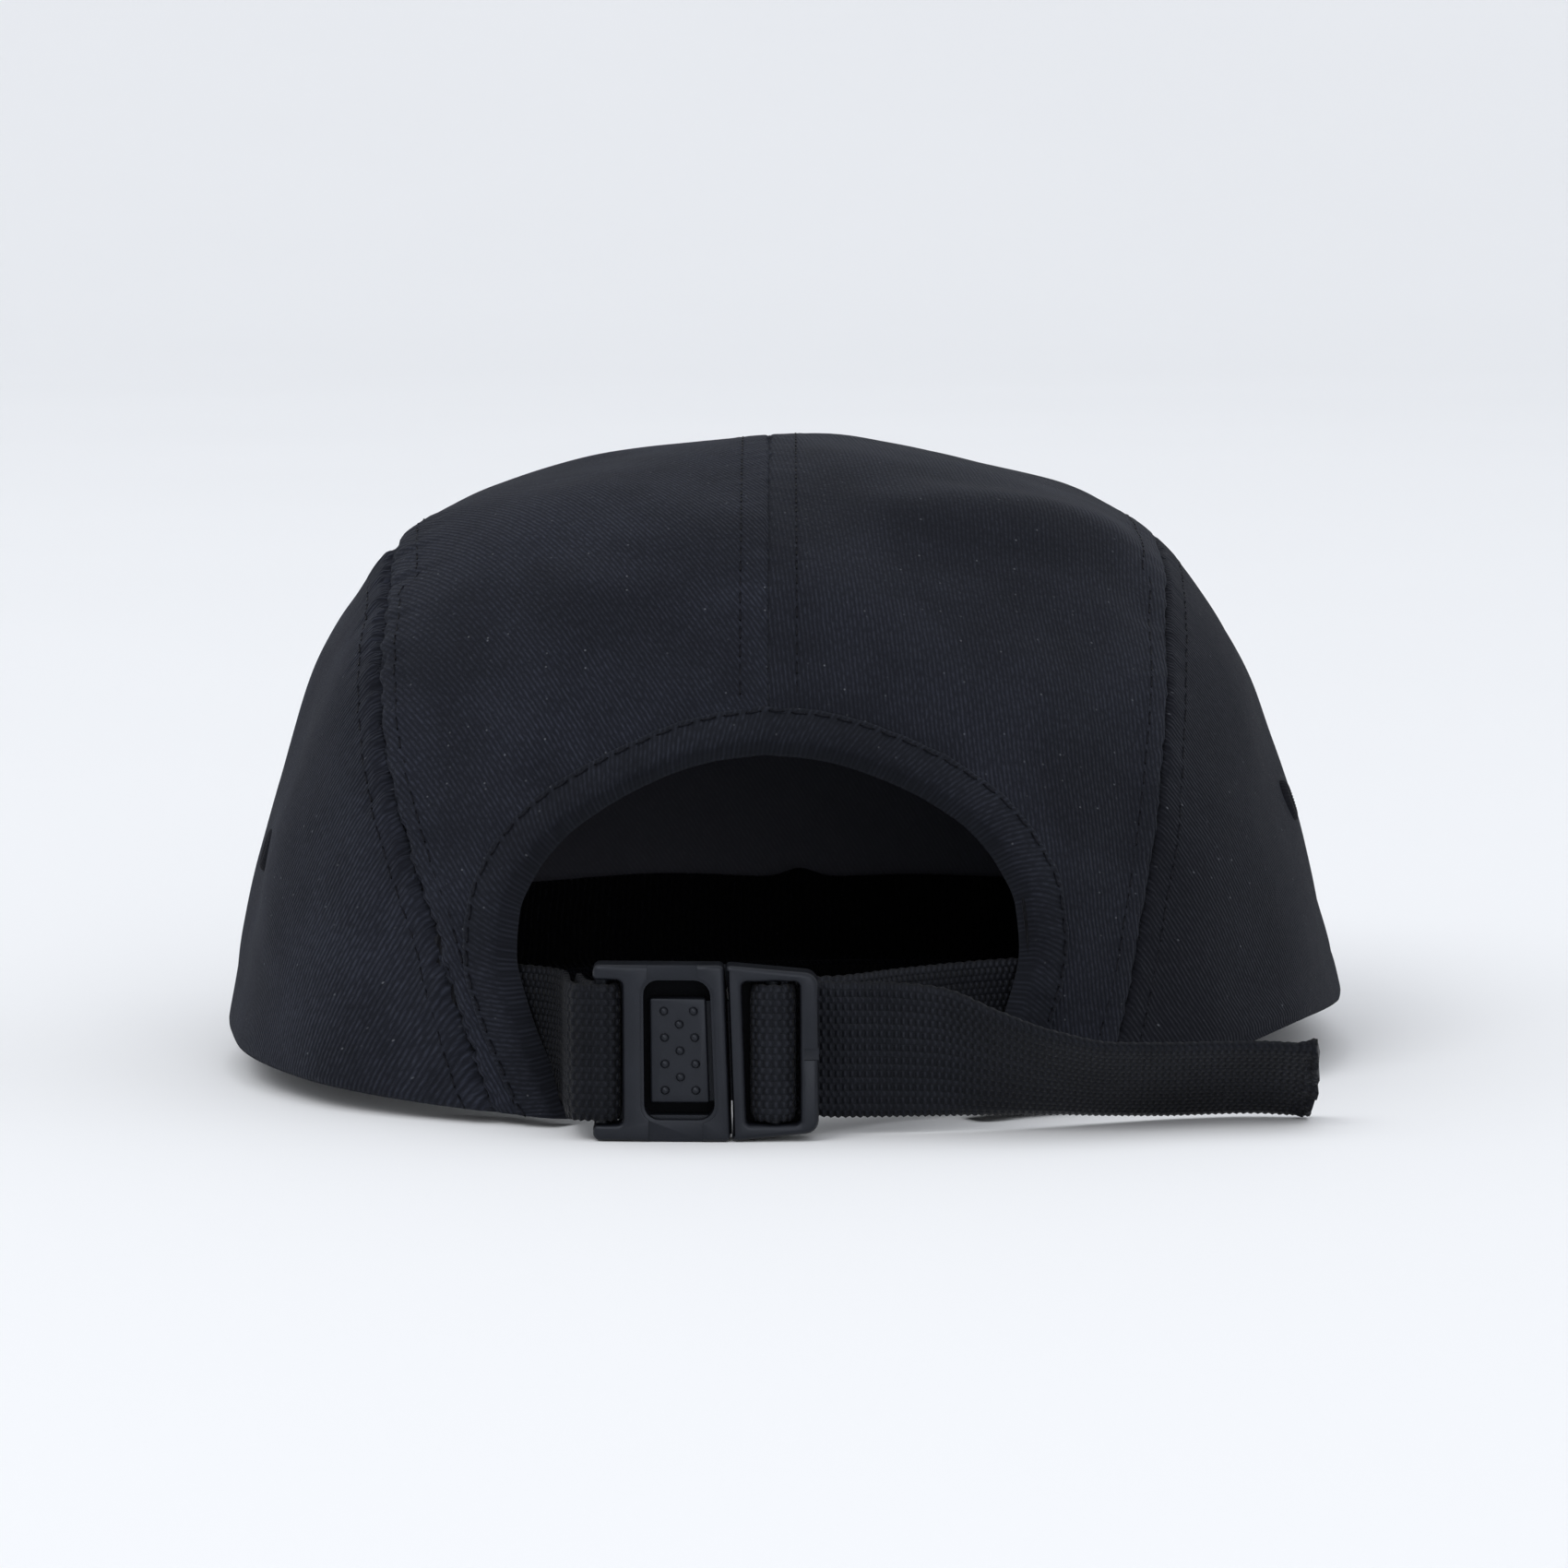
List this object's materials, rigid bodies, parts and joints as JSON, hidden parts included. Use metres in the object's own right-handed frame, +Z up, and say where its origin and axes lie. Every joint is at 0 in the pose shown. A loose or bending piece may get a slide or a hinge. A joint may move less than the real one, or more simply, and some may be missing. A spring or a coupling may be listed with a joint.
{
  "type": "five panel cap",
  "caption": "Soft cotton cap with a low boxy crown of sewn panels, a flat visor, a bound arched opening at the back and a webbing strap with a clip buckle.",
  "frame": {"origin": "on the surface that the cap rests on, under the middle of its box", "axes": "+Z up, -Y towards the visor, +Y towards the back opening, +X towards the wearer's left"},
  "size_m": [0.1814, 0.2686, 0.0987],
  "materials": {
    "twill": "black brushed cotton twill with a cool tinge and fine diagonal ribs",
    "sweatband": "black cotton band",
    "binding": "black twill bias tape, ribs across the edge",
    "thread": "black sewing thread",
    "webbing": "black ribbed webbing with a slight sheen",
    "plastic": "dark grey matt moulded plastic"
  },
  "bodies": {
    "root": {"front_panel": "twill", "side_panel_left": "twill", "side_panel_right": "twill", "top_panel_left": "twill", "top_panel_right": "twill", "visor": "twill", "sweatband": "sweatband", "opening_binding": "binding", "eyelet_left": "thread", "eyelet_right": "thread", "strap_short": "webbing", "strap_long": "webbing", "buckle_socket": "plastic", "buckle_insert": "plastic"}
  },
  "joints": []
}
